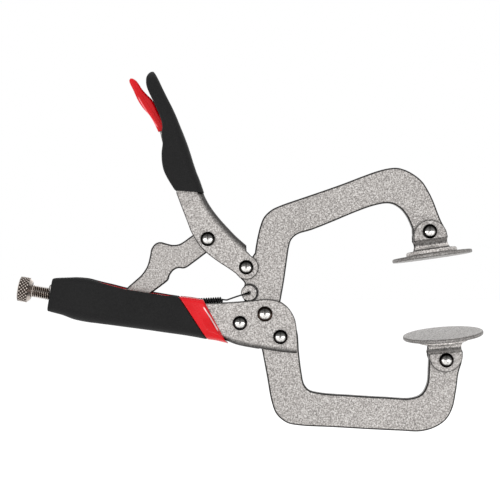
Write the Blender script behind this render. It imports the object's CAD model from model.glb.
import math

import bmesh
import bpy
import numpy as np
from mathutils import Matrix, Vector


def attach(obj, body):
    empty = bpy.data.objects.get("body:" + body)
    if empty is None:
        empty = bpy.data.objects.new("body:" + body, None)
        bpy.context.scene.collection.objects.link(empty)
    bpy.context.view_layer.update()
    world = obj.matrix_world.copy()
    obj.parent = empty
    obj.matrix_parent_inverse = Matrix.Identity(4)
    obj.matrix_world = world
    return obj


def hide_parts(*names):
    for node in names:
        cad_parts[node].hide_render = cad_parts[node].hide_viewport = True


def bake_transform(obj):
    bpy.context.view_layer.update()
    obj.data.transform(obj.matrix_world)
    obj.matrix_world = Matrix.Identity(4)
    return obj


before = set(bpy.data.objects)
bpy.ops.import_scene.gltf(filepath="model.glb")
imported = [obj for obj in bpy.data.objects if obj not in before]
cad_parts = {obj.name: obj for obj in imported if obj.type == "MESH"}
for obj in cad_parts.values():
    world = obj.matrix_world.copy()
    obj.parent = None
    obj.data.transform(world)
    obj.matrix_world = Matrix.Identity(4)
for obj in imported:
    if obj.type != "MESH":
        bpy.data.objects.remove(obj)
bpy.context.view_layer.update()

# The model's frame: X towards the jaws, Z towards the lever, Y across the tool.
# Outlines are in drawing millimetres; place() turns them into the frame's metres.
MM = 0.001
HOLD = (-61.0, -28.0)
GAP = 0.3
JAW_HALF, LINK_HALF = 3.0, 2.8
SHEET, CHANNEL_IN = 1.6, 3.6
CHANNEL_OUT = CHANNEL_IN + SHEET
LINER_IN, LINER_OUT = 5.5, 6.3
GRIP_IN = 6.6
LEVER_GRIP_IN = 5.5
JAW_PIVOT = (7.4, -31.8)
REAR_RIVET = (-5.0, -36.3)
FRONT_RIVET = (15.1, -43.2)
LEVER_PIVOT = (-1.9, -8.6)
LINK_PIVOT = (-21.0, 5.5)
RELEASE_PIVOT = (-38.8, 46.5)
LUG = (-0.5, -21.4)
LINK_NOSE, LINK_NOSE_R = (-63.5, -28.2), 3.4
SPRING_PIN = (-37.5, -28.6)
SHANK_R, HEAD_R, HEAD_H = 2.0, 3.62, 1.75
PIVOT_SHANK_R, PIVOT_HEAD_R = 2.2, 3.82
SCREW_END, SCREW_SLOPE = (-116.3, -19.05), -0.18
SCREW_R, HEAD_LENGTH, KNURL_R = 2.95, 5.7, 6.25
SHOULDER_END, SCREW_LENGTH, CAP_FACE = 8.0, 45.7, 49.0
UPPER_PAD, UPPER_TURN, UPPER_ROCK = (89.3, 9.3), 8.0, 2.6
LOWER_PAD, LOWER_TURN, LOWER_ROCK = (97.5, -54.7), 5.2, 6.4
JAW_END_R = 8.3
EAR_IN, EAR_OUT, EAR_HALF = 4.4, 6.0, 8.35
BASE_NEAR, BASE_FAR, BASE_R = 9.2, 11.2, 12.75
DISC_NEAR, DISC_FAR, DISC_R = 11.5, 13.4, 20.25
PAD_HEAD_FACE = 6.7
SPRING_WIRE, SPRING_COIL_R, SPRING_TURNS = 0.4, 1.5, 15
STEP, ARC = 0.8, 5.0


# ------------------------------------------------------------------ outlines
def smooth(points, step=STEP):
    pts = [Vector(p) for p in points]
    ends = [2 * pts[0] - pts[1]] + pts + [2 * pts[-1] - pts[-2]]
    out = [tuple(pts[0])]
    for i in range(1, len(ends) - 2):
        p0, p1, p2, p3 = ends[i - 1 : i + 3]
        n = max(1, round((p2 - p1).length / step))
        t0 = 0.0
        t1 = t0 + max((p1 - p0).length, 1e-6) ** 0.5
        t2 = t1 + max((p2 - p1).length, 1e-6) ** 0.5
        t3 = t2 + max((p3 - p2).length, 1e-6) ** 0.5
        for k in range(1, n + 1):
            t = t1 + (t2 - t1) * k / n
            a1 = p0 * ((t1 - t) / (t1 - t0)) + p1 * ((t - t0) / (t1 - t0))
            a2 = p1 * ((t2 - t) / (t2 - t1)) + p2 * ((t - t1) / (t2 - t1))
            a3 = p2 * ((t3 - t) / (t3 - t2)) + p3 * ((t - t2) / (t3 - t2))
            b1 = a1 * ((t2 - t) / (t2 - t0)) + a2 * ((t - t0) / (t2 - t0))
            b2 = a2 * ((t3 - t) / (t3 - t1)) + a3 * ((t - t1) / (t3 - t1))
            out.append(tuple(b1 * ((t2 - t) / (t2 - t1)) + b2 * ((t - t1) / (t2 - t1))))
    return out


def arc(centre, r, start, end):
    n = max(2, math.ceil(abs(end - start) / ARC))
    angles = [math.radians(start + (end - start) * i / n) for i in range(n + 1)]
    return [(centre[0] + r * math.cos(a), centre[1] + r * math.sin(a)) for a in angles]


def join(*runs):
    """One closed outline; each run is a list of points, or (points, edge radius)."""
    out, radii = [], []
    for run in runs:
        points, radius = run if isinstance(run, tuple) else (run, None)
        for p in points:
            if not out or math.dist(p, out[-1]) > 0.12:
                out.append(p)
                radii.append(radius)
    while math.dist(out[0], out[-1]) <= 0.12:
        out.pop()
        radii.pop()
    return out, radii


def normals_of(points, radii=None):
    """Outward mitre at each point, scaled so that both neighbours move by one. Where the
    edge radius jumps, the point follows the side with the larger radius."""
    area = sum(a[0] * b[1] - b[0] * a[1] for a, b in zip(points, points[1:] + points[:1]))
    side = 1 if area > 0 else -1
    out = []
    count = len(points)
    for i, p in enumerate(points):
        a, b = Vector(points[i - 1]), Vector(points[(i + 1) % count])
        p = Vector(p)
        u, v = (p - a).normalized(), (b - p).normalized()
        n1, n2 = Vector((u.y, -u.x)) * side, Vector((v.y, -v.x)) * side
        if radii:
            r0, r1, r2 = radii[i - 1], radii[i], radii[(i + 1) % count]
            if r1 > 1.5 * r0:
                out.append(n2)
                continue
            if r1 > 1.5 * r2:
                out.append(n1)
                continue
        n = (n1 + n2).normalized()
        out.append(n / max(n.dot(n1), 0.5))
    return out


def grown(points, d):
    return [tuple(Vector(p) + n * d) for p, n in zip(points, normals_of(points))]


# -------------------------------------------------------------------- meshes
def place(x, y, z):
    return Vector(((x - HOLD[0]) * MM, y * MM, (z - HOLD[1]) * MM))


def mesh_of(bm):
    bmesh.ops.recalc_face_normals(bm, faces=bm.faces)
    mesh = bpy.data.meshes.new("solid")
    bm.to_mesh(mesh)
    bm.free()
    return mesh


def skin(rings, closed_ends=True):
    """A closed surface through rings of points; a ring of one point is a tip."""
    bm = bmesh.new()
    made = [[bm.verts.new(p) for p in ring] for ring in rings]
    for a, b in zip(made, made[1:]):
        n = max(len(a), len(b))
        for k in range(n):
            j = (k + 1) % n
            face = []
            for v in (a[k % len(a)], a[j % len(a)], b[j % len(b)], b[k % len(b)]):
                if v not in face:
                    face.append(v)
            bm.faces.new(face)
    if closed_ends:
        if len(made[0]) > 2:
            bm.faces.new(made[0][::-1])
        if len(made[-1]) > 2:
            bm.faces.new(made[-1])
    return mesh_of(bm)


def plate(outline, half, radius=0.5, rings=5, low=None):
    """A flat piece with rounded edges. The outline may carry its own edge radii."""
    points, radii = outline if isinstance(outline, tuple) else (outline, None)
    radii = [radius if r is None else r for r in (radii or [None] * len(points))]
    normals = normals_of(points, radii)
    bottom = -half if low is None else low
    levels = []
    for k in range(rings + 1):
        a = math.pi / 2 * (1 - k / rings)
        levels.append((a, -1))
    for k in range(rings + 1):
        levels.append((math.pi / 2 * k / rings, 1))
    made = []
    for a, sign in levels:
        ring = []
        for p, n, r in zip(points, normals, radii):
            q = Vector(p) - n * r * (1 - math.cos(a))
            edge = half if sign > 0 else bottom
            ring.append(place(q.x, edge - sign * r * (1 - math.sin(a)), q.y))
        made.append(ring)
    return skin(made)


def prism(outline, half, low=None):
    points = outline[0] if isinstance(outline, tuple) else outline
    bottom = -half if low is None else low
    return skin([[place(x, y, z) for x, z in points] for y in (bottom, half)])


def turned(profile, centre, axis, segments=64):
    axis = Vector(axis).normalized()
    side = axis.cross(Vector((0, 1, 0)) if abs(axis.y) < 0.9 else Vector((1, 0, 0))).normalized()
    other = axis.cross(side)
    centre = place(*centre)
    rings = []
    for r, d in profile:
        base = centre + axis * d * MM
        if r < 1e-6:
            rings.append([base])
        else:
            angles = [2 * math.pi * k / segments for k in range(segments)]
            rings.append([base + (side * math.cos(a) + other * math.sin(a)) * r * MM for a in angles])
    return skin(rings)


def combine(mesh, other, operation):
    target = bpy.data.objects.new("target", mesh)
    cutter = bpy.data.objects.new("cutter", other)
    for obj in (target, cutter):
        bpy.context.scene.collection.objects.link(obj)
    modifier = target.modifiers.new("combine", "BOOLEAN")
    modifier.operation = operation
    modifier.solver = "EXACT"
    modifier.object = cutter
    graph = bpy.context.evaluated_depsgraph_get()
    made = bpy.data.meshes.new_from_object(target.evaluated_get(graph))
    for obj in (target, cutter):
        bpy.data.objects.remove(obj, do_unlink=True)
    return made


def cut(mesh, *cutters):
    for cutter in cutters:
        mesh = combine(mesh, cutter, "DIFFERENCE")
    return mesh


def add(mesh, *others):
    for other in others:
        mesh = combine(mesh, other, "UNION")
    return mesh


def hole(x, z, r, half=20.0, segments=48):
    return turned([(0, -half), (r, -half), (r, half), (0, half)], (x, 0, z), (0, 1, 0), segments)


def piece(name, mesh, body, material, replaces, origin=None, bevel=None, sharp=32):
    """A finished piece on its body. Its origin is where its own texture starts."""
    origin = origin or Vector((0, 0, 0))
    mesh.transform(Matrix.Translation(-origin))
    mesh.materials.clear()
    mesh.materials.append(material)
    for poly in mesh.polygons:
        poly.material_index = 0
    mesh.name = name
    mesh.shade_smooth()
    mesh.set_sharp_from_angle(angle=math.radians(sharp))
    obj = bpy.data.objects.new(name, mesh)
    bpy.context.scene.collection.objects.link(obj)
    obj.location = origin
    if bevel:
        b = obj.modifiers.new("edges", "BEVEL")
        b.width = bevel * MM
        b.segments = 3
        b.limit_method = "ANGLE"
        b.angle_limit = math.radians(40)
        b.harden_normals = False
    w = obj.modifiers.new("normals", "WEIGHTED_NORMAL")
    w.weight = 100
    w.keep_sharp = True
    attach(obj, body)
    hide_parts(*replaces)
    return obj


# ----------------------------------------------------------------- materials
class Graph:
    """A short way to wire a material's nodes."""

    def __init__(self, name):
        self.material = bpy.data.materials.new(name)
        self.material.use_nodes = True
        self.tree = self.material.node_tree
        self.shader = self.tree.nodes["Principled BSDF"]
        self.coords = self.add("ShaderNodeTexCoord")

    def add(self, kind, **values):
        made = self.tree.nodes.new(kind)
        for key, value in values.items():
            setattr(made, key, value)
        return made

    def link(self, a, b):
        self.tree.links.new(a, b)

    def noise(self, scale, detail=2.0, roughness=0.5, stretch=None, distortion=0.0):
        made = self.add("ShaderNodeTexNoise")
        made.inputs["Scale"].default_value = scale
        made.inputs["Detail"].default_value = detail
        made.inputs["Roughness"].default_value = roughness
        made.inputs["Distortion"].default_value = distortion
        source = self.coords.outputs["Object"]
        if stretch:
            mapping = self.add("ShaderNodeMapping")
            mapping.inputs["Scale"].default_value = stretch
            self.link(source, mapping.inputs["Vector"])
            source = mapping.outputs["Vector"]
        self.link(source, made.inputs["Vector"])
        return made.outputs["Fac"]

    def ramp(self, value, stops):
        made = self.add("ShaderNodeValToRGB")
        elements = made.color_ramp.elements
        while len(elements) < len(stops):
            elements.new(0.5)
        for element, (position, colour) in zip(elements, stops):
            element.position = position
            if isinstance(colour, (int, float)):
                colour = (colour, colour, colour)
            element.color = (*colour, 1)
        self.link(value, made.inputs["Fac"])
        return made.outputs["Color"]

    def math(self, operation, a, b=None, clamp=False):
        made = self.add("ShaderNodeMath", operation=operation, use_clamp=clamp)
        for socket, value in zip(made.inputs, (a, b)):
            if value is None:
                continue
            if isinstance(value, (int, float)):
                socket.default_value = value
            else:
                self.link(value, socket)
        return made.outputs["Value"]

    def mix(self, blend, factor, a, b):
        made = self.add("ShaderNodeMix", data_type="RGBA", blend_type=blend)
        for socket, value in ((made.inputs[0], factor), (made.inputs[6], a), (made.inputs[7], b)):
            if isinstance(value, (int, float)):
                socket.default_value = value
            elif isinstance(value, tuple):
                socket.default_value = (*value, 1)
            else:
                self.link(value, socket)
        return made.outputs[2]

    def bump(self, height, strength, distance, normal=None):
        made = self.add("ShaderNodeBump")
        made.inputs["Strength"].default_value = strength
        made.inputs["Distance"].default_value = distance
        self.link(height, made.inputs["Height"])
        if normal is not None:
            self.link(normal, made.inputs["Normal"])
        return made.outputs["Normal"]


def nickel(name, edge, tone=1.0, ring=None):
    """Satin nickel with a fine sparkling grain. The sheared or bent edges are darker."""
    g = Graph(name)
    fine = g.noise(2500, 1.0, 0.5)
    coarse = g.noise(1400, 1.0, 0.5)
    broad = g.noise(30, 2.0)
    grain = g.math("ADD", g.math("MULTIPLY", fine, 0.35), g.math("MULTIPLY", coarse, 0.65))
    colour = g.ramp(grain, [(0.36, tuple(c * tone for c in STEEL_DARK)), (0.47, tuple(c * tone for c in STEEL_MID)),
                             (0.53, tuple(c * tone for c in STEEL_MID_2)), (0.64, tuple(c * tone for c in STEEL_LIGHT))])
    colour = g.mix("MULTIPLY", 1.0, colour, g.ramp(broad, [(0.3, 0.95), (0.7, 1.0)]))
    split = g.add("ShaderNodeSeparateXYZ")
    g.link(g.coords.outputs["Normal"], split.inputs["Vector"])
    flat = g.math("ABSOLUTE", split.outputs["Y" if edge != "pad" else "Z"])
    if edge == "plate":
        stops = [(0.0, 0.40), (0.06, 0.34), (0.20, 0.08), (0.90, 0.06), (0.975, 0.36), (0.999, 1.0)]
    elif edge == "channel":
        stops = [(0.0, 0.17), (0.40, 0.12), (0.71, 0.19), (0.87, 0.36), (0.955, 0.64), (0.985, 0.84), (0.999, 1.0)]
    else:
        stops = [(0.0, 1.0), (0.3, 0.75), (0.75, 0.6), (0.97, 1.0)]
    if edge == "ears":
        # dark round the pressed outline, in the neck under the ear and along the foot
        place_z = g.add("ShaderNodeSeparateXYZ")
        g.link(g.coords.outputs["Object"], place_z.inputs["Vector"])
        wobble = g.math("MULTIPLY", g.math("SUBTRACT", coarse, 0.5), 0.0011)
        height = g.math("MULTIPLY", g.math("ADD", place_z.outputs["Z"], wobble), 1000 / 14.0)
        bands = g.ramp(height, [(0.0, 1.0), (0.345, 1.0), (0.395, 0.30), (0.465, 0.36), (0.50, 1.0),
                                (0.585, 1.0), (0.625, 0.10), (0.662, 0.12), (0.685, 1.0), (0.78, 1.0), (0.80, 0.35)])
        rim = g.ramp(flat, [(0.0, 0.30), (0.25, 0.10), (0.86, 0.09), (0.96, 0.5), (0.995, 1.0)])
        foot = g.ramp(height, [(0.0, 0.0), (0.30, 0.0), (0.335, 1.0)])
        # the outline of the ear, by its distance from the ear's own rounding
        below = g.math("MINIMUM", g.math("SUBTRACT", place_z.outputs["Z"], 0.0029), 0.0)
        reach = g.math("SQRT", g.math("ADD", g.math("MULTIPLY", place_z.outputs["X"], place_z.outputs["X"]),
                                      g.math("MULTIPLY", below, below)))
        outline = g.ramp(g.math("MULTIPLY", reach, 100.0),
                         [(0.0, 1.0), (0.775, 1.0), (0.805, 0.30), (0.835, 0.14)])
        colour = g.mix("MULTIPLY", 1.0, colour, g.mix("MIX", foot, outline, (1.0, 1.0, 1.0)))
        colour = g.mix("MULTIPLY", 1.0, colour, bands)
        colour = g.mix("MULTIPLY", 1.0, colour, g.mix("MIX", foot, rim, (1.0, 1.0, 1.0)))
        lift = g.ramp(height, [(0.0, 0.0), (0.48, 0.0), (0.52, 1.0)])
        colour = g.mix("MIX", lift, colour, g.mix("MULTIPLY", 1.0, g.mix("ADD", 1.0, colour, colour), (0.80, 0.80, 0.80)))
    else:
        colour = g.mix("MULTIPLY", 1.0, colour, g.ramp(flat, stops))
    if ring:
        # a pressed groove round a boss is darker than the face
        centre, near, far = ring
        away = g.add("ShaderNodeVectorMath", operation="SUBTRACT")
        g.link(g.coords.outputs["Object"], away.inputs[0])
        away.inputs[1].default_value = place(centre[0], 0, centre[1])
        level = g.add("ShaderNodeVectorMath", operation="MULTIPLY")
        g.link(away.outputs["Vector"], level.inputs[0])
        level.inputs[1].default_value = (100.0, 0.0, 100.0)
        length = g.add("ShaderNodeVectorMath", operation="LENGTH")
        g.link(level.outputs["Vector"], length.inputs[0])
        colour = g.mix("MULTIPLY", 1.0, colour, g.ramp(length.outputs["Value"], [
            (0.0, 1.0), (near / 10 - 0.02, 1.0), (near / 10, 0.12), (far / 10 - 0.02, 0.14), (far / 10 + 0.012, 1.0)]))
    g.link(colour, g.shader.inputs["Base Color"])
    g.link(g.ramp(grain, [(0.3, 0.54), (0.7, 0.40)]), g.shader.inputs["Roughness"])
    g.shader.inputs["Metallic"].default_value = 0.85
    scratches = g.noise(420, 2.0, 0.5, stretch=(1.0, 1.0, 9.0))
    first = g.bump(grain, 0.22, 0.00012)
    g.link(g.bump(scratches, 0.05, 0.00006, first), g.shader.inputs["Normal"])
    return g.material


STEEL_DARK = (0.190, 0.179, 0.172)
STEEL_MID = (0.325, 0.306, 0.293)
STEEL_MID_2 = (0.385, 0.365, 0.349)
STEEL_LIGHT = (0.58, 0.562, 0.545)


def rivet_steel(name, rim_start, rim_end, rim):
    """Polished dome with a dark, slightly oxidised rim round it."""
    g = Graph(name)
    flat = g.add("ShaderNodeMapping")
    flat.inputs["Scale"].default_value = (1, 0, 1)
    g.link(g.coords.outputs["Object"], flat.inputs["Vector"])
    length = g.add("ShaderNodeVectorMath", operation="LENGTH")
    g.link(flat.outputs["Vector"], length.inputs[0])
    wobble = g.math("MULTIPLY", g.noise(700, 2.0), 0.0004)
    radius = g.math("MULTIPLY", g.math("ADD", length.outputs["Value"], wobble), 200.0)
    colour = g.ramp(radius, [(0.0, (0.90, 0.88, 0.86)), ((rim_start - 0.55) * 0.2, (0.84, 0.82, 0.79)),
                             (rim_start * 0.2, rim), (rim_end * 0.2, tuple(c * 0.6 for c in rim))])
    split = g.add("ShaderNodeSeparateXYZ")
    g.link(g.coords.outputs["Object"], split.inputs["Vector"])
    uneven = g.math("MULTIPLY", g.math("SUBTRACT", g.noise(1600, 2.0), 0.5), 0.0016)
    height = g.math("ADD", g.math("MULTIPLY", g.math("ADD", split.outputs["Z"], uneven), 200.0), 0.5)
    colour = g.mix("MULTIPLY", 1.0, colour, g.ramp(height, [(0.0, 0.25), (0.16, 0.9), (0.46, 1.0), (0.57, 0.32), (0.85, 0.10)]))
    middle = g.math("ABSOLUTE", g.math("ADD", split.outputs["X"], uneven))
    seam = g.mix("MIX", g.ramp(height, [(0.30, 0.0), (0.44, 1.0)]), (1.0, 1.0, 1.0),
                 g.ramp(g.math("MULTIPLY", middle, 1000.0), [(0.0, 0.35), (0.20, 0.5), (0.55, 1.0)]))
    colour = g.mix("MULTIPLY", 1.0, colour, seam)
    marks = g.ramp(g.noise(1400, 3.0, 0.6), [(0.36, 0.4), (0.52, 1.0)])
    g.link(g.mix("MULTIPLY", 0.8, colour, marks), g.shader.inputs["Base Color"])
    g.link(g.ramp(g.noise(500, 2.0), [(0.3, 0.08), (0.7, 0.15)]), g.shader.inputs["Roughness"])
    g.shader.inputs["Metallic"].default_value = 1.0
    g.link(g.bump(g.noise(1200, 2.0), 0.06, 0.00008), g.shader.inputs["Normal"])
    return g.material


def groove_metal(name, light, dark, rough):
    """Bright metal that is darker down in its grooves, by the mesh's own depth value."""
    g = Graph(name)
    depth = g.add("ShaderNodeAttribute", attribute_name="groove")
    noise = g.noise(900, 2.0, 0.6)
    base = g.ramp(noise, [(0.3, tuple(c * 0.86 for c in light)), (0.7, light)])
    shade = g.ramp(depth.outputs["Fac"], [(0.0, 0.0), (0.25, 0.18), (0.62, 1.0)])
    g.link(g.mix("MIX", shade, base, dark), g.shader.inputs["Base Color"])
    g.link(g.ramp(noise, [(0.3, rough + 0.08), (0.7, rough - 0.04)]), g.shader.inputs["Roughness"])
    g.shader.inputs["Metallic"].default_value = 1.0
    g.link(g.bump(noise, 0.08, 0.00006), g.shader.inputs["Normal"])
    return g.material


def rubber(name):
    g = Graph(name)
    fine = g.noise(1900, 2.0, 0.6)
    broad = g.noise(55, 3.0, 0.55)
    colour = g.ramp(fine, [(0.3, (0.0040, 0.0040, 0.0042)), (0.7, (0.0115, 0.0113, 0.0115))])
    colour = g.mix("MULTIPLY", 1.0, colour, g.ramp(broad, [(0.3, 0.82), (0.7, 1.0)]))
    g.link(colour, g.shader.inputs["Base Color"])
    g.link(g.ramp(broad, [(0.25, 0.50), (0.75, 0.68)]), g.shader.inputs["Roughness"])
    g.shader.inputs["Specular IOR Level"].default_value = 0.17
    g.link(g.bump(fine, 0.28, 0.0001), g.shader.inputs["Normal"])
    return g.material


def glossy_red(name, line=None):
    """Glossy plastic; line = (start, end, bow, inset): a pale worn crest beside that edge."""
    g = Graph(name)
    fine = g.noise(1300, 2.0, 0.5)
    broad = g.noise(70, 2.0, 0.5)
    colour = g.ramp(broad, [(0.3, (0.58, 0.002, 0.006)), (0.7, (0.68, 0.004, 0.010))])
    colour = g.mix("MULTIPLY", 0.3, colour, g.ramp(fine, [(0.3, 0.86), (0.6, 1.0)]))
    if line:
        start, end, bow, inset, width, pale = line
        a, b = place(start[0], 0, start[1]), place(end[0], 0, end[1])
        along = (b - a).normalized()
        across = Vector((-along.z, 0, along.x))
        parts = []
        for direction in (along, across):
            away = g.add("ShaderNodeVectorMath", operation="SUBTRACT")
            g.link(g.coords.outputs["Object"], away.inputs[0])
            away.inputs[1].default_value = a
            dot = g.add("ShaderNodeVectorMath", operation="DOT_PRODUCT")
            g.link(away.outputs["Vector"], dot.inputs[0])
            dot.inputs[1].default_value = direction
            parts.append(dot.outputs["Value"])
        f = g.math("DIVIDE", parts[0], (b - a).length)
        curve = g.math("MULTIPLY", g.math("MULTIPLY", f, g.math("SUBTRACT", 1.0, f)), 4 * bow * MM)
        off = g.math("SUBTRACT", g.math("SUBTRACT", parts[1], curve), inset * MM)
        near = g.ramp(g.math("DIVIDE", g.math("ABSOLUTE", off), width * MM), [(0.3, 1.0), (1.0, 0.0)])
        ends = g.ramp(f, [(0.0, 0.0), (0.07, 1.0), (0.90, 1.0), (1.0, 0.0)])
        colour = g.mix("MIX", g.mix("MULTIPLY", 1.0, near, ends), colour, pale)
    g.link(colour, g.shader.inputs["Base Color"])
    g.link(g.ramp(broad, [(0.3, 0.20), (0.7, 0.27)]), g.shader.inputs["Roughness"])
    g.shader.inputs["Specular IOR Level"].default_value = 0.22
    g.link(g.bump(broad, 0.03, 0.0001), g.shader.inputs["Normal"])
    return g.material


PLATE = nickel("satin_nickel_plate", "plate")
PLATE_RING = nickel("satin_nickel_boss_plate", "plate", ring=(LUG, 4.1, 4.8))
CHANNEL = nickel("satin_nickel_channel", "channel", 1.04)
RIVET = rivet_steel("polished_rivet_steel", 2.8, 3.3, (0.024, 0.021, 0.019))
PIVOT = rivet_steel("polished_pivot_steel", 3.0, 3.6, (0.085, 0.058, 0.043))
SCREW = groove_metal("bright_screw_nickel", (0.66, 0.585, 0.53), (0.035, 0.026, 0.022), 0.28)
SPRING = groove_metal("dark_spring_steel", (0.022, 0.022, 0.023), (0.01, 0.01, 0.01), 0.36)
BLACK = rubber("black_grip_rubber")
RED = glossy_red("glossy_red_tip", ((-45.9, 61.1), (-55.9, 76.6), 0.4, 0.0, 0.40, (0.88, 0.20, 0.22)))
RED_COLLAR = glossy_red("glossy_red_collar", ((-23.2, -28.1), (-15.7, -40.4), 0.2, 0.0, 0.40, (0.95, 0.74, 0.74)))


# -------------------------------------------------- fixed handle and its grip
steel_top = [
    (-98.0, -16.2), (-91.7, -15.6), (-86.8, -15.4), (-81.0, -15.9), (-75.2, -17.3),
    (-61.5, -20.6), (-48.0, -22.8), (-35.7, -24.9), (-22.3, -26.4), (-8.5, -26.0),
    (1.8, -25.1), (8.2, -24.4), (12.0, -24.9), (15.5, -26.0), (19.0, -28.7),
    (21.2, -31.8), (22.6, -35.2), (23.2, -38.8),
]
web_front = [(23.2, -51.8), (16.0, -51.1), (6.0, -49.6), (-2.2, -48.2), (-6.6, -47.2), (-9.2, -46.3)]
web_rear = [
    (-10.9, -45.5), (-21.3, -42.6), (-37.3, -38.4), (-56.5, -35.8), (-65.0, -34.5),
    (-79.0, -32.8), (-86.8, -31.6), (-94.5, -28.8), (-99.8, -27.8),
]
BOSS_FRONT, WEB_SLOT = -88.0, 4.5
BEND = 2.9

handle_outline = join(
    (smooth(steel_top), 0.7), (smooth(web_front), BEND), (smooth(web_rear), BEND), ([(-99.9, -18.0)], 0.32)
)
inside = [(x, z + SHEET) for x, z in web_rear if x > BOSS_FRONT]
inside_front = [(x, z + SHEET) for x, z in web_front if x < WEB_SLOT]
inner_outline = join(
    ([(WEB_SLOT, -49.4 + SHEET)], 1.3),
    (smooth(inside_front), 1.3),
    (smooth(inside), 1.3),
    ([(BOSS_FRONT, -31.3 + SHEET), (BOSS_FRONT, 0.0), (40.0, 0.0), (40.0, -60.0), (WEB_SLOT, -60.0)], 0.05),
)
screw_dir = Vector((1.0, 0.0, SCREW_SLOPE)).normalized()
bore = turned(
    [(0, 5.0), (SCREW_R + 0.35, 5.0), (SCREW_R + 0.35, 34.0), (0, 34.0)],
    (SCREW_END[0], 0, SCREW_END[1]), screw_dir, 48,
)
handle = cut(
    plate(handle_outline, CHANNEL_OUT, rings=8),
    plate(inner_outline, CHANNEL_IN, rings=5),
    bore,
    hole(*JAW_PIVOT, PIVOT_SHANK_R + GAP),
    hole(*REAR_RIVET, SHANK_R + GAP),
    hole(*FRONT_RIVET, SHANK_R + GAP),
    hole(*SPRING_PIN, 1.2 + GAP),
)
piece("handle_channel", handle, "handle", CHANNEL, ["fixed_handle"])

grip_stations = [
    ((-98.1, -14.3), (-100.8, -30.3), 7.6),
    ((-97.0, -14.0), (-99.0, -30.9), 8.2),
    ((-91.7, -13.8), (-93.5, -32.4), 8.8),
    ((-86.8, -13.7), (-88.0, -34.5), 9.1),
    ((-81.0, -14.2), (-82.0, -35.8), 9.2),
    ((-75.2, -15.7), (-76.0, -36.6), 9.2),
    ((-69.2, -17.1), (-69.0, -37.5), 9.2),
    ((-61.5, -19.0), (-60.0, -38.7), 9.2),
    ((-54.0, -20.2), (-51.0, -39.9), 9.2),
    ((-48.0, -21.1), (-42.0, -41.2), 9.2),
    ((-41.5, -22.2), (-31.5, -42.7), 9.2),
    ((-35.6, -23.1), (-21.5, -44.5), 9.1),
]
collar_stations = [
    ((-35.1, -23.1), (-21.0, -44.6), 9.0),
    ((-30.0, -23.6), (-16.8, -45.2), 8.8),
    ((-23.0, -24.7), (-10.7, -46.7), 8.0),
]


def between(stations, step=1.0):
    """More stations along a smooth curve through the given ones."""
    flat = [Vector((t[0], t[1], b[0], b[1], h)) for t, b, h in stations]
    ends = [2 * flat[0] - flat[1]] + flat + [2 * flat[-1] - flat[-2]]
    out = [flat[0]]
    for i in range(1, len(ends) - 2):
        p0, p1, p2, p3 = ends[i - 1 : i + 3]
        n = max(1, round(((p2 - p1).length / 1.5) / step))
        for k in range(1, n + 1):
            t = k / n
            # Hermite form with the mean slopes, damped so that uneven stations don't ripple
            m1 = (p2 - p0) * 0.5 * min(1.0, (p2 - p1).length / max((p1 - p0).length, 1e-6))
            m2 = (p3 - p1) * 0.5 * min(1.0, (p2 - p1).length / max((p3 - p2).length, 1e-6))
            h00, h10 = 2 * t**3 - 3 * t**2 + 1, t**3 - 2 * t**2 + t
            h01, h11 = -2 * t**3 + 3 * t**2, t**3 - t**2
            out.append(p1 * h00 + m1 * h10 + p2 * h01 + m2 * h11)
    return [((v[0], v[1]), (v[2], v[3]), v[4]) for v in out]


def grip_ring(top, bottom, half, bow=0.0, r_low=6.5, r_top=2.2, n=9, inset=0.0, shift=0.0):
    """A rounded closed section between a top and a bottom point, bulging by bow."""
    t, b = Vector(top), Vector(bottom)
    up = t - b
    h = up.length
    up.normalize()
    along = Vector((up.y, -up.x))
    if b.x < -84.0:
        r_low = min(r_low, 3.0 + 2.2 * (half - 7.6))
    r_low = min(r_low, 0.45 * h, half - 0.5)
    r_top = min(r_top, 0.3 * h, half - 0.5)
    rl, rt, w = r_low - inset, r_top - inset, half - inset
    flat = []
    for i in range(n + 1):
        a = math.radians(90 * i / n)
        flat.append((half - r_low + rl * math.sin(a), r_low - rl * math.cos(a)))
    for f in (0.2, 0.4, 0.5, 0.6, 0.7, 0.8, 0.9):
        flat.append((w, r_low + (h - r_top - r_low) * f))
    for i in range(n + 1):
        a = math.radians(90 * i / n)
        flat.append((half - r_top + rt * math.cos(a), h - r_top + rt * math.sin(a)))
    section = flat + [(-y, d) for y, d in flat[::-1]]
    out = []
    for y, d in section:
        f = d / h
        p = b + up * d + along * (bow * 4 * f * (1 - f) + shift)
        out.append(place(p.x, y, p.y))
    return out


def lofted(stations, round_first, round_last, bows=None, **shape):
    """The grip's surface; its ends turn in over their own radii, inside its length."""
    bows = bows or [0.0] * len(stations)
    mids = [(Vector(t) + Vector(b)) / 2 for t, b, _ in stations]
    travel = [0.0]
    for p, q in zip(mids, mids[1:]):
        travel.append(travel[-1] + (q - p).length)
    total = travel[-1]
    rings = []
    n = 6
    for k in range(n):
        a = math.pi / 2 * k / n
        d = round_first * (1 - math.cos(a))
        rings.append(grip_ring(*at_travel(stations, travel, d), at_value(bows, travel, d),
                               inset=round_first * (1 - math.sin(a)), **shape))
    for i, s in enumerate(stations):
        if round_first < travel[i] < total - round_last:
            rings.append(grip_ring(*s, bows[i], **shape))
    for k in range(n - 1, -1, -1):
        a = math.pi / 2 * k / n
        d = total - round_last * (1 - math.cos(a))
        rings.append(grip_ring(*at_travel(stations, travel, d), at_value(bows, travel, d),
                               inset=round_last * (1 - math.sin(a)), **shape))
    return skin(rings)


def at_value(values, travel, d):
    for i in range(len(travel) - 1):
        if d <= travel[i + 1] or i == len(travel) - 2:
            f = (d - travel[i]) / (travel[i + 1] - travel[i])
            return values[i] + (values[i + 1] - values[i]) * f


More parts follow.
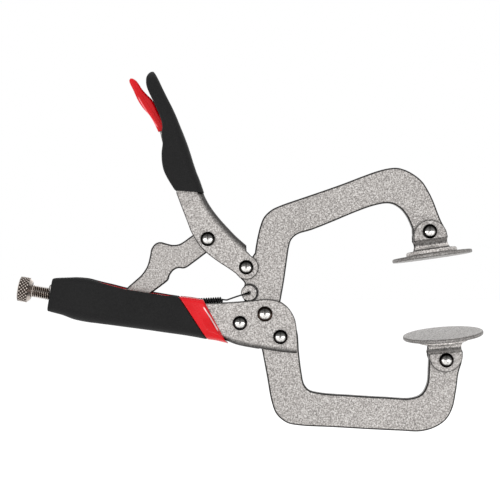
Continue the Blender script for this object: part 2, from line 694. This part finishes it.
def at_travel(stations, travel, d):
    tx = at_value([s[0][0] for s in stations], travel, d)
    tz = at_value([s[0][1] for s in stations], travel, d)
    bx = at_value([s[1][0] for s in stations], travel, d)
    bz = at_value([s[1][1] for s in stations], travel, d)
    return (tx, tz), (bx, bz), at_value([s[2] for s in stations], travel, d)


cavity_outline = join(
    [(-108.0, -30.0), (-108.0, -15.6), (-91.7, -15.1), (-88.2, -15.0), (-88.2, 0.0), (0.0, 0.0), (0.0, -45.5)],
    smooth([(-13.0, -44.2), (-21.3, -42.5), (-37.3, -39.8), (-56.5, -37.2), (-65.0, -35.9),
            (-79.0, -34.2), (-86.8, -33.0), (-94.5, -30.3), (-100.2, -29.2)]),
)
slot_rim = join(
    [(-30.0, -10.0), (-80.0, -10.0), (-78.0, -14.9)],
    smooth([(-72.0, -16.75), (-69.2, -17.5), (-61.5, -19.5), (-54.0, -20.7), (-48.0, -21.6), (-41.5, -22.65)]),
    [(-37.6, -22.7), (-35.0, -21.0)],
)
cover = cut(lofted(between(grip_stations), 0.4, 0.35), prism(cavity_outline, GRIP_IN), prism(slot_rim, -6.4, low=-12.0))
piece("handle_grip", cover, "handle", BLACK, ["lower_grip"])

liner_outline = join(
    [(-96.6, -18.0), (-96.6, -15.9), (-91.7, -15.6), (-88.0, -15.5), (-87.8, -14.2)],
    smooth([(-81.0, -14.7), (-75.2, -16.2), (-61.5, -19.5), (-48.0, -21.6), (-36.0, -23.5)]),
    [(-26.0, -25.5), (-20.0, -41.0)],
    smooth([(-24.0, -42.0), (-37.3, -39.5), (-56.5, -36.9), (-65.0, -35.6), (-79.0, -33.9),
            (-86.8, -32.7), (-94.5, -30.0), (-96.6, -29.5)]),
)
steel_space = join(
    [(-108.0, -28.0), (-108.0, 0.0), (0.0, 0.0), (0.0, -47.5)],
    [(x, z - GAP) for x, z in smooth(web_rear)],
)
collar_fine = between(collar_stations, 0.6)
collar_bows = [-2.0 * i / (len(collar_fine) - 1) for i in range(len(collar_fine))]
liner = add(
    plate(liner_outline, LINER_OUT, 0.2, rings=3),
    lofted(collar_fine, 0.35, 0.5, bows=collar_bows),
)
liner = cut(liner, prism(steel_space, LINER_IN))
piece("handle_grip_liner", liner, "handle", RED_COLLAR, ["grip_liner"])


# ------------------------------------------------------------ rivets and pins
def rivet(name, at, shank_r, head_r, head_face, body, node, material=None, height=HEAD_H):
    """Domed heads with a short rolled rim, on a shank."""
    lip = 0.22 * height
    dome = [(head_r - 0.18, head_face), (head_r - 0.05, head_face + 0.06), (head_r, head_face + 0.16),
            (head_r, head_face + lip)]
    for k in range(1, 17):
        a = math.pi / 2 * k / 16
        r = head_r * math.cos(a) if k < 16 else 0.0
        dome.append((r, head_face + lip + (height - lip) * math.sin(a)))
    profile = [(r, -d) for r, d in dome[::-1]] + [(shank_r, -head_face)]
    profile += [(shank_r, head_face)] + dome
    mesh = turned(profile, (at[0], 0, at[1]), (0, 1, 0), 72)
    return piece(name, mesh, body, material or RIVET, [node], place(at[0], 0, at[1]))


FACE = CHANNEL_OUT + GAP
rivet("rear_jaw_rivet", REAR_RIVET, SHANK_R, HEAD_R, FACE, "handle", "fixed_jaw_rivet_rear")
rivet("front_jaw_rivet", FRONT_RIVET, SHANK_R, HEAD_R, FACE, "handle", "fixed_jaw_rivet_front")
rivet("jaw_pivot", JAW_PIVOT, PIVOT_SHANK_R, PIVOT_HEAD_R, FACE, "handle", "jaw_pivot_rivet", PIVOT)
rivet("lever_pivot", LEVER_PIVOT, PIVOT_SHANK_R, HEAD_R, FACE, "lever", "lever_pivot_rivet")
rivet("link_pivot", LINK_PIVOT, SHANK_R, HEAD_R, FACE, "lever", "link_pivot_rivet")
rivet("upper_pad_pin", UPPER_PAD, SHANK_R, HEAD_R, PAD_HEAD_FACE, "upper_rivet", "upper_pad_rivet")
rivet("lower_pad_pin", LOWER_PAD, SHANK_R, HEAD_R, PAD_HEAD_FACE, "lower_rivet", "lower_pad_rivet")

for name, at, r, body, node in (
    ("release_lever_pin", RELEASE_PIVOT, 1.5, "lever", "release_pin"),
    ("spring_pin", SPRING_PIN, 1.2, "handle", "spring_anchor_pin"),
):
    ends = [(0, -5.2), (r - 0.3, -5.2), (r - 0.08, -5.1), (r, -4.85)]
    mesh = turned(ends + [(q, -d) for q, d in ends[::-1]], (at[0], 0, at[1]), (0, 1, 0), 40)
    piece(name, mesh, body, RIVET, [node], place(at[0], 0, at[1]))

# ------------------------------------------------------------------ fixed jaw
EDGE = 0.95
fixed_jaw_outline = join(
    smooth([(3.6, -45.0), (5.3, -47.3), (6.0, -50.2), (8.5, -63.4), (10.7, -75.5), (13.2, -81.9),
            (18.4, -86.2), (24.5, -87.5), (41.5, -88.4), (59.0, -89.4), (76.0, -90.2),
            (84.7, -90.5), (91.5, -88.8), (97.5, -84.9), (101.0, -78.9), (102.8, -70.2),
            (104.0, -61.5), (105.5, -56.5)]),
    arc(LOWER_PAD, JAW_END_R, 0, 180),
    smooth([(89.1, -57.5), (88.3, -66.8), (85.5, -71.8), (80.4, -73.8), (67.5, -73.4),
            (50.2, -72.4), (34.8, -71.2), (29.5, -69.8), (27.0, -66.8), (25.8, -61.5),
            (24.5, -51.3), (23.7, -41.3), (22.3, -37.6), (18.5, -36.2), (14.9, -37.2)]),
    arc(JAW_PIVOT, 7.4, -42, -150),
    arc(REAR_RIVET, 5.0, 38, 250),
)
fixed_jaw = cut(
    plate(fixed_jaw_outline, JAW_HALF, EDGE),
    hole(*REAR_RIVET, SHANK_R + GAP),
    hole(*FRONT_RIVET, SHANK_R + GAP),
    hole(*LOWER_PAD, SHANK_R + GAP),
)
piece("lower_jaw", fixed_jaw, "handle", PLATE, ["fixed_jaw"])

# ---------------------------------------------------------------- movable jaw
movable_jaw_outline = join(
    arc(LEVER_PIVOT, 6.0, 60, 240),
    smooth([(-4.9, -14.0), (-2.7, -16.6), (-3.1, -18.4)]),
    arc(LUG, 4.0, 135, 225),
    smooth([(-2.6, -25.6), (-0.6, -28.4), (0.9, -31.8)]),
    arc(JAW_PIVOT, 6.5, 180, 350),
    smooth([(14.4, -30.0), (15.2, -25.7), (17.0, -15.5), (18.5, -5.0), (19.5, 1.5), (20.6, 5.0),
            (23.5, 7.7), (30.7, 10.0), (40.9, 14.0), (51.1, 18.3), (61.3, 22.0), (68.0, 23.3),
            (71.5, 22.8), (75.2, 20.5), (77.8, 17.4), (79.7, 13.8), (81.0, 10.5)]),
    arc(UPPER_PAD, JAW_END_R, 180, 362),
    smooth([(96.7, 11.9), (95.2, 14.8), (93.4, 19.3), (91.2, 25.0), (88.5, 30.3), (85.9, 34.2), (82.3, 37.3),
            (77.8, 39.8), (73.5, 41.0), (69.5, 40.8), (63.9, 39.5), (56.2, 36.8), (46.0, 32.9),
            (35.8, 29.3), (25.5, 25.8), (16.0, 22.5), (10.8, 20.1), (7.0, 16.5), (5.1, 12.0),
            (3.8, 6.8), (2.8, 1.5), (2.45, -1.3)]),
)
notch_dir = Vector((-4.1, -1.7)).normalized()
notch_side = Vector((-notch_dir.y, notch_dir.x)) * 0.8
lug = Vector(LUG)
notch = [
    tuple(lug + notch_side), tuple(lug + notch_side + notch_dir * 8),
    tuple(lug - notch_side + notch_dir * 8), tuple(lug - notch_side),
]
groove = arc(LUG, 5.05, -80, 118) + arc(LUG, 3.95, 118, -80)
movable_jaw = cut(
    plate(movable_jaw_outline, JAW_HALF, EDGE),
    prism(groove, 6.0, low=JAW_HALF - 1.0),
    prism(groove, -JAW_HALF + 1.0, low=-6.0),
)
movable_jaw = add(movable_jaw, plate(arc(LUG, 4.0, 0, 355), 3.4, 0.4, rings=4))
movable_jaw = cut(
    movable_jaw,
    prism(notch, 1.3, low=-10.0),
    turned([(0, -10.0), (1.05, -10.0), (1.05, 2.8), (0, 2.8)], (LUG[0], 0, LUG[1]), (0, 1, 0), 32),
    hole(*LEVER_PIVOT, PIVOT_SHANK_R + GAP),
    hole(*JAW_PIVOT, PIVOT_SHANK_R + GAP),
    hole(*UPPER_PAD, SHANK_R + GAP),
)
piece("upper_jaw", movable_jaw, "movable_jaw", PLATE_RING, ["movable_jaw"])

# ---------------------------------------------------------------------- lever
lever_open = [
    (-36.7, 28.4), (-34.0, 21.2), (-31.2, 14.0), (-29.3, 9.0), (-27.8, 6.3), (-25.1, 2.2),
    (-22.0, -1.1), (-16.3, -5.5), (-10.5, -9.3), (-6.8, -12.0), (-5.3, -13.7),
]
lever_web = [(-1.8, 2.3), (-6.8, 6.7), (-10.5, 10.5), (-16.3, 17.0), (-20.2, 22.4), (-22.5, 26.6), (-23.2, 28.25)]
lever_web_in_grip = [
    (-26.1, 28.6), (-28.0, 34.2), (-30.4, 41.8), (-33.4, 51.1), (-37.1, 60.5), (-40.6, 68.8),
    (-43.9, 75.3),
]
lever_open_in_grip = [
    (-47.3, 75.0), (-45.2, 70.5), (-43.2, 66.0), (-42.1, 61.5), (-42.3, 57.0), (-42.0, 53.0),
    (-42.4, 48.5), (-42.1, 43.5), (-41.2, 39.5), (-39.3, 35.2), (-36.4, 29.6),
]
lever_outline = join(
    (smooth(lever_open), 0.7),
    (arc(LEVER_PIVOT, 6.15, -122, 66), 0.7),
    ([(-1.0, -1.2), (-1.7, -0.65)], 0.7),
    (smooth(lever_web), BEND + 0.5),
    (smooth(lever_web_in_grip), 0.32),
    (smooth(lever_open_in_grip), 0.32),
)
lever_inside = join(
    ([(8.0, 0.9), (-3.2, 0.9), (-4.0, 2.2)], 0.05),
    (smooth([(-7.9, 5.6), (-11.7, 9.4), (-17.6, 16.0), (-21.6, 21.7), (-24.2, 26.6)]), 1.3),
    (smooth([(-26.9, 27.4), (-29.4, 33.6), (-31.9, 41.2), (-34.9, 50.5), (-38.6, 59.9),
             (-42.1, 68.2), (-45.3, 74.6)]), 1.3),
    ([(-48.0, 80.0), (-70.0, 80.0), (-70.0, -25.0), (8.0, -25.0)], 0.05),
)
lever = cut(
    plate(lever_outline, CHANNEL_OUT, rings=8),
    plate(lever_inside, CHANNEL_IN, rings=5),
    hole(*LEVER_PIVOT, PIVOT_SHANK_R + GAP),
    hole(*LINK_PIVOT, SHANK_R + GAP),
    hole(*RELEASE_PIVOT, 1.5 + GAP),
)
piece("lever_channel", lever, "lever", CHANNEL, ["lever"])

lever_grip_stations = [
    ((-49.7, 88.8), (-48.2, 89.0), 2.4),
    ((-50.8, 87.5), (-47.2, 87.8), 5.2),
    ((-51.6, 85.4), (-46.0, 85.7), 7.4),
    ((-51.5, 82.0), (-44.4, 82.3), 8.3),
    ((-50.3, 78.5), (-42.6, 78.6), 8.6),
    ((-48.7, 75.2), (-41.0, 75.4), 8.8),
    ((-46.9, 71.5), (-39.0, 71.5), 8.8),
    ((-44.9, 66.8), (-36.9, 66.9), 8.8),
    ((-43.6, 62.3), (-35.0, 62.2), 8.8),
    ((-43.9, 57.5), (-33.0, 57.3), 8.8),
    ((-43.4, 53.0), (-31.3, 52.8), 8.8),
    ((-43.9, 48.5), (-29.8, 48.3), 8.8),
    ((-43.7, 43.5), (-28.3, 43.5), 8.8),
    ((-42.7, 39.1), (-26.8, 39.0), 8.8),
    ((-40.5, 34.7), (-25.1, 34.8), 8.8),
    ((-37.3, 29.6), (-22.9, 28.4), 8.4),
]
lever_grip_space = join(
    [(-20.0, 20.0)],
    smooth([(-24.8, 27.4), (-27.5, 34.3), (-30.0, 41.9), (-33.0, 51.2), (-36.7, 60.6),
            (-40.2, 69.0), (-43.2, 75.4)]),
    [(-43.6, 76.2), (-70.0, 76.2), (-70.0, 20.0)],
)
blade_slot = [
    (-44.8, 75.0), (-46.6, 78.2), (-49.0, 82.0), (-51.0, 85.6), (-62.0, 85.6), (-62.0, 70.0),
    (-44.8, 70.0),
]
lever_cover = cut(
    lofted(between(lever_grip_stations), 0.1, 0.5, r_low=4.5, r_top=2.0),
    prism(lever_grip_space, LEVER_GRIP_IN),
    prism(blade_slot, 3.4),
)
piece("lever_cover", lever_cover, "lever", BLACK, ["lever_grip"])

# ---------------------------------------------------------------- toggle link
link_outline = join(
    arc(LINK_PIVOT, 6.4, -70, 118),
    smooth([(-28.8, 7.3), (-35.3, 3.0), (-38.7, 2.6), (-41.5, 3.2), (-44.8, 4.0), (-47.2, 3.2),
            (-49.2, 0.6), (-49.9, -2.8), (-51.3, -8.0), (-54.0, -12.2), (-57.7, -15.6),
            (-61.6, -19.1), (-64.9, -22.7), (-66.7, -26.2)]),
    arc(LINK_NOSE, LINK_NOSE_R, 170, 300),
    smooth([(-59.5, -29.2), (-53.4, -24.9), (-47.5, -20.3), (-43.5, -17.3), (-40.8, -15.0),
            (-40.1, -12.8), (-38.2, -10.2), (-35.8, -9.1), (-32.7, -9.2), (-27.2, -5.6)]),
    [(-21.8, -1.5)],
)
link = cut(plate(link_outline, LINK_HALF, EDGE), hole(*LINK_PIVOT, SHANK_R + GAP))
piece("toggle_bar", link, "toggle_link", PLATE, ["toggle_link"])

# -------------------------------------------------------------- release lever
release_tail_left = [
    (-44.9, 58.9), (-46.9, 63.6), (-49.2, 67.4), (-52.2, 70.9), (-54.7, 74.6), (-57.0, 79.3),
    (-58.7, 83.0),
]
release_tail_right = [
    (-57.5, 83.0), (-55.5, 80.0), (-53.2, 77.0), (-50.6, 74.0), (-48.0, 69.8), (-44.9, 64.0),
    (-42.2, 59.0),
]
release_outline = join(
    smooth(release_tail_left),
    smooth(release_tail_right),
    smooth([(-39.0, 54.5), (-36.3, 49.5), (-35.4, 46.5), (-34.6, 41.0), (-32.2, 33.0),
            (-30.2, 25.0), (-29.8, 21.5)]),
    arc((-31.2, 21.4), 1.5, 0, -180),
    smooth([(-34.2, 27.5), (-37.5, 35.0), (-40.3, 41.0), (-42.2, 46.5), (-43.2, 51.3),
            (-43.9, 54.4)]),
)
release = cut(plate(release_outline, 1.5, 0.3, rings=3), hole(*RELEASE_PIVOT, 1.5 + GAP))
piece("release_blade", release, "release_lever", PLATE, ["release_lever"])

sleeve_outline = join(
    smooth([(-45.8, 59.0), (-48.0, 63.6), (-50.2, 67.2), (-53.4, 70.8), (-56.0, 74.8),
            (-58.3, 79.8), (-60.2, 83.8), (-60.3, 84.9), (-59.6, 85.7), (-58.6, 85.6),
            (-56.5, 84.2), (-53.8, 80.2), (-51.2, 77.3), (-48.7, 74.8), (-46.3, 70.0),
            (-43.2, 64.0), (-40.8, 59.6)]),
)
tail = join(smooth(release_tail_left), smooth(release_tail_right), [(-41.0, 55.0), (-42.6, 52.0), (-43.8, 55.0)])[0]
sleeve = cut(plate(sleeve_outline, 2.6, 1.15, rings=7), prism(grown(tail, GAP), 1.5 + GAP))
piece("release_tip", sleeve, "release_lever", RED, ["release_lever_sleeve"])


# ------------------------------------------------------------ adjusting screw
def screw_mesh():
    """Knurled head, shoulder and M6 x 1 thread as one turned skin with its own relief."""
    segments = 144
    side = screw_dir.cross(Vector((0, 1, 0))).normalized()
    other = screw_dir.cross(side)
    centre = place(SCREW_END[0], 0, SCREW_END[1])
    around, pitch = 20, 1.75
    KNURL_START, KNURL_END = 1.2, HEAD_LENGTH + 0.1
    rows = [("tip", 0.65, 0.0), ("plain", 0.9, 1.4), ("plain", 0.7, 1.9), ("plain", 0.65, KNURL_R - 1.3),
            ("plain", 0.75, KNURL_R - 0.9), ("plain", 1.0, KNURL_R - 0.5)]
    n = 30
    for k in range(n + 1):
        rows.append(("knurl", KNURL_START + (KNURL_END - KNURL_START) * k / n, KNURL_R))
    rows += [("worn", KNURL_END + 0.12, KNURL_R - 0.35), ("worn", HEAD_LENGTH + 1.35, 4.95),
             ("plain", HEAD_LENGTH + 1.6, 4.6), ("groove", HEAD_LENGTH + 1.7, 4.0),
             ("groove", HEAD_LENGTH + 1.75, 2.75), ("groove", HEAD_LENGTH + 1.9, 2.6)]
    start, end = HEAD_LENGTH + 1.95, SCREW_LENGTH - 0.7
    n = int((end - start) * 7)
    for k in range(n + 1):
        rows.append(("thread", start + (end - start) * k / n, SCREW_R))
    rows += [("plain", SCREW_LENGTH, SCREW_R - 0.7), ("plain", SCREW_LENGTH + 0.02, 1.6),
             ("plain", CAP_FACE - 1.05, 1.6), ("tip", CAP_FACE - 1.0, 0.0)]
    rings, depths = [], []
    for kind, d, r in rows:
        base = centre + screw_dir * d * MM
        if kind == "tip":
            rings.append([base])
            depths.append([0.0])
            continue
        ring, row = [], []
        for k in range(segments):
            turn = k / segments
            a = 2 * math.pi * turn
            radius, depth = r, 0.0
            if kind == "knurl":
                u, v = turn * around, d / pitch
                p, q = (u + v) % 1.0, (u - v) % 1.0
                height = min(1 - abs(2 * p - 1), 1 - abs(2 * q - 1))
                fade = min(1.0, (d - KNURL_START) / 0.35, (KNURL_END - d) / 0.35 + 0.15)
                radius = r - 0.6 * (1 - min(1.0, height * 1.35)) * max(0.15, fade)
                depth = 1 - min(1.0, height * 1.25)
            elif kind == "worn":
                depth = 0.27
            elif kind == "groove":
                depth = 0.8
            elif kind == "thread":
                f = (d - turn) % 1.0
                height = min(1.0, max(0.0, 1.28 * (1 - abs(2 * f - 1)) - 0.1))
                fade = min(1.0, (d - start) / 0.8, (end - d) / 0.8 + 0.1)
                radius = r + 0.22 - 0.72 * (1 - height) * max(0.0, fade)
                depth = (1 - height) * max(0.0, fade)
            ring.append(base + (side * math.cos(a) + other * math.sin(a)) * radius * MM)
            row.append(depth)
        rings.append(ring)
        depths.append(row)
    mesh = skin(rings)
    values = np.array([x for row in depths for x in row], np.float32)
    attribute = mesh.attributes.new("groove", "FLOAT", "POINT")
    attribute.data.foreach_set("value", values)
    return mesh


screw_origin = place(SCREW_END[0], 0, SCREW_END[1])
piece("adjuster_screw", screw_mesh(), "screw", SCREW, ["adjusting_screw"], screw_origin, sharp=75)
cap_profile = [
    (0.0, CAP_FACE), (2.2, CAP_FACE), (2.55, CAP_FACE - 0.06), (2.9, CAP_FACE - 0.3), (3.12, CAP_FACE - 0.6),
    (3.2, CAP_FACE - 0.95), (3.2, SCREW_LENGTH + GAP + 0.15), (3.05, SCREW_LENGTH + GAP),
    (1.9, SCREW_LENGTH + GAP), (1.9, CAP_FACE - 0.7), (0.0, CAP_FACE - 0.7),
]
cap = turned(cap_profile, (SCREW_END[0], 0, SCREW_END[1]), screw_dir, 56)
piece("screw_cap", cap, "screw_tip", SCREW, ["screw_thrust_cap"], screw_origin)

# --------------------------------------------------------------- return spring
COIL_REAR, COIL_FRONT = Vector((-31.0, 0.0, -26.2)), Vector((-13.6, 0.0, -25.2))


def spring_path():
    path = []
    hook_r = 1.2 + GAP + SPRING_WIRE + 0.1
    for k in range(25):
        a = math.radians(330 - 300 * k / 24)
        path.append(Vector((SPRING_PIN[0] + hook_r * math.cos(a), 0, SPRING_PIN[1] + hook_r * math.sin(a))))
    path.append(Vector((-33.8, 0.0, -26.6)))
    axis = (COIL_FRONT - COIL_REAR).normalized()
    side = Vector((0, 1, 0))
    up = axis.cross(side)
    per_turn = 20
    n = SPRING_TURNS * per_turn
    for k in range(n + 1):
        a = 2 * math.pi * k / per_turn
        r = SPRING_COIL_R * min(1.0, 0.25 + k / 12, 0.25 + (n - k) / 12)
        path.append(COIL_REAR.lerp(COIL_FRONT, k / n) + (up * math.cos(a) + side * math.sin(a)) * r)
    path.append(Vector((-11.6, 0.0, -25.0)))
    path.append(Vector((-6.5, 0.0, -23.2)))
    path.append(Vector((LUG[0] - 0.9, 0.0, LUG[1] - 0.25)))
    path.append(Vector((LUG[0] - 0.25, 0.15, LUG[1] - 0.05)))
    path.append(Vector((LUG[0], 0.8, LUG[1])))
    path.append(Vector((LUG[0], 2.4, LUG[1])))
    return path


curve = bpy.data.curves.new("spring_wire", "CURVE")
curve.dimensions = "3D"
curve.bevel_depth = SPRING_WIRE * MM
curve.bevel_resolution = 3
curve.use_fill_caps = True
spline = curve.splines.new("POLY")
wire = spring_path()
spline.points.add(len(wire) - 1)
for point, p in zip(spline.points, wire):
    point.co = (*place(p.x, p.y, p.z), 1.0)
guide = bpy.data.objects.new("spring_guide", curve)
bpy.context.scene.collection.objects.link(guide)
spring_mesh = bpy.data.meshes.new_from_object(guide.evaluated_get(bpy.context.evaluated_depsgraph_get()))
bpy.data.objects.remove(guide, do_unlink=True)
bm = bmesh.new()
bm.from_mesh(spring_mesh)
bmesh.ops.remove_doubles(bm, verts=bm.verts, dist=1e-6)
bmesh.ops.recalc_face_normals(bm, faces=bm.faces)
bm.to_mesh(spring_mesh)
bm.free()
spring_mesh.materials.clear()
spring_mesh.materials.append(SPRING)
spring_mesh.shade_smooth()
spring = bpy.data.objects.new("return_coil_spring", spring_mesh)
bpy.context.scene.collection.objects.link(spring)
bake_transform(spring)
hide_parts("return_spring")


# ------------------------------------------------------------------ swivel pads
def pad_frame(at, turn, rock, facing):
    turn, rock = math.radians(turn), math.radians(rock)
    along = Vector((math.cos(turn), 0, math.sin(turn)))
    out = Vector((math.sin(turn), 0, -math.cos(turn))) * facing
    normal = out * math.cos(rock) + Vector((0, -1, 0)) * math.sin(rock)
    across = normal.cross(along)
    made = Matrix((along, across, normal)).transposed().to_4x4()
    made.translation = place(at[0], 0, at[1])
    return made


def local(mesh):
    mesh.transform(Matrix.Translation(-place(0, 0, 0)))
    return mesh


def turned_local(profile, segments):
    return turned(profile, (HOLD[0], 0, HOLD[1]), (0, 0, 1), segments)


def bracket_mesh():
    """Two ears that straddle the jaw, pressed from one sheet with the round base plate."""
    outer = smooth([(EAR_OUT, -9.0), (EAR_OUT, -2.0), (EAR_OUT, 3.2), (5.85, 4.2), (5.45, 5.2), (5.4, 6.3),
                    (5.75, 7.4), (6.6, 8.3), (7.15, 9.2), (7.3, 10.2)], 0.35)
    half = [(EAR_IN, -9.0)] + outer
    shape = half + [(-y, d) for y, d in half[::-1]] + [(-EAR_IN, BASE_NEAR), (EAR_IN, BASE_NEAR)]
    ears = skin([[Vector((x, y, d)) * MM for y, d in shape] for x in (-12.0, 12.0)])
    ear = join(
        arc((0.0, 2.9), EAR_HALF, 180, 360),
        smooth([(EAR_HALF + 0.15, 3.9), (8.25, 4.7), (8.0, 5.6), (8.0, 6.9), (8.25, 7.8), (8.5, 8.6), (8.5, 10.4)], 0.5),
        smooth([(-8.5, 10.4), (-8.5, 8.6), (-8.25, 7.8), (-8.0, 6.9), (-8.0, 5.6), (-8.25, 4.7), (-EAR_HALF - 0.15, 3.9)], 0.5),
    )
    mesh = combine(ears, local(prism(ear, 20.0)), "INTERSECT")
    base = turned_local(
        [(0.0, BASE_NEAR + 0.001), (BASE_R - 0.75, BASE_NEAR + 0.001), (BASE_R - 0.45, BASE_NEAR + 0.08),
         (BASE_R - 0.2, BASE_NEAR + 0.25), (BASE_R - 0.05, BASE_NEAR + 0.5), (BASE_R, BASE_NEAR + 0.8),
         (BASE_R, BASE_FAR - 0.15), (BASE_R - 0.15, BASE_FAR), (0.0, BASE_FAR)], 96
    )
    mesh = add(mesh, base)
    return cut(mesh, local(hole(0.0, 0.0, 3.0)))


def disc_mesh():
    """A round pad with rolled edges and a slight turned dish in its working face."""
    near, far, r = DISC_NEAR, DISC_FAR, DISC_R - 0.22
    profile = [(0.0, near), (r - 0.7, near), (r - 0.4, near + 0.07), (r - 0.15, near + 0.28), (r, near + 0.6),
               (r, far - 0.55), (r - 0.12, far - 0.25), (r - 0.35, far - 0.06), (r - 0.6, far), (0.0, far)]
    return turned_local(profile, 160)


def pad(prefix, at, turn, rock, facing, body):
    world = pad_frame(at, turn, rock, facing)
    for part, mesh, bevel in (("ears", bracket_mesh(), 0.34), ("face", disc_mesh(), None)):
        mesh.materials.clear()
        mesh.materials.append(PAD if part == "ears" else DISC)
        for poly in mesh.polygons:
            poly.material_index = 0
        mesh.shade_smooth()
        mesh.set_sharp_from_angle(angle=math.radians(32))
        obj = bpy.data.objects.new(f"{prefix}_pad_{part}", mesh)
        bpy.context.scene.collection.objects.link(obj)
        obj.matrix_world = world
        if bevel:
            b = obj.modifiers.new("edges", "BEVEL")
            b.width = bevel * MM
            b.segments = 2
            b.limit_method = "ANGLE"
            b.angle_limit = math.radians(50)
        w = obj.modifiers.new("normals", "WEIGHTED_NORMAL")
        w.weight = 100
        w.keep_sharp = True
        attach(obj, body)
        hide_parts(f"{prefix}_pad_{'bracket' if part == 'ears' else 'disc'}")


PAD = nickel("satin_nickel_ears", "ears")
DISC = nickel("satin_nickel_disc", "pad", 0.71)
pad("upper", UPPER_PAD, UPPER_TURN, UPPER_ROCK, 1, "upper_pad")
pad("lower", LOWER_PAD, LOWER_TURN, LOWER_ROCK, -1, "lower_pad")

# ---------------------------------------------------------------------- studio
floor_mesh = bpy.data.meshes.new("studio_floor")
bm = bmesh.new()
corners = [(-6, -6), (6, -6), (6, 6), (-6, 6)]
bm.faces.new([bm.verts.new((x, y, -0.17)) for x, y in corners])
bm.to_mesh(floor_mesh)
bm.free()
floor = bpy.data.objects.new("studio_floor", floor_mesh)
bpy.context.scene.collection.objects.link(floor)
g = Graph("pale_floor")
g.link(g.ramp(g.noise(3.0, 2.0), [(0.3, 0.93), (0.7, 0.95)]), g.shader.inputs["Base Color"])
g.shader.inputs["Roughness"].default_value = 0.9
g.shader.inputs["Specular IOR Level"].default_value = 0.1
g.shader.inputs["Emission Color"].default_value = (1, 1, 1, 1)
g.shader.inputs["Emission Strength"].default_value = 0.12
floor_mesh.materials.append(g.material)

world = bpy.data.worlds.new("studio")
bpy.context.scene.world = world
world.use_nodes = True
world.node_tree.nodes["Background"].inputs["Color"].default_value = (1.0, 1.0, 1.0, 1)
world.node_tree.nodes["Background"].inputs["Strength"].default_value = 1.0


def softbox(name, position, target, size, power):
    light = bpy.data.lights.new(name, "AREA")
    light.shape = "RECTANGLE"
    light.size, light.size_y = size
    light.energy = power
    obj = bpy.data.objects.new(name, light)
    bpy.context.scene.collection.objects.link(obj)
    obj.location = position
    obj.rotation_euler = (Vector(target) - Vector(position)).to_track_quat("-Z", "Y").to_euler()
    return obj


middle = (0.061, 0.0, 0.028)
softbox("front_left_low", (-0.36, -1.25, -0.22), middle, (0.50, 0.55), 3.4)
softbox("front_right_low", (0.48, -1.25, -0.22), middle, (0.50, 0.55), 3.4)
softbox("top", (0.0, -0.35, 1.3), middle, (1.2, 0.8), 2.0)
softbox("back", (0.2, 1.5, 0.5), middle, (1.2, 0.8), 2.5)

camera = bpy.data.cameras.new("camera")
camera.sensor_width = 36.0
camera.lens = 36.0 * 0.9 / 0.25
view = bpy.data.objects.new("camera", camera)
bpy.context.scene.collection.objects.link(view)
view.location = (0.061, -0.9, 0.028)
view.rotation_euler = (math.pi / 2, 0, 0)
bpy.context.scene.camera = view
bpy.context.scene.view_settings.view_transform = "Standard"
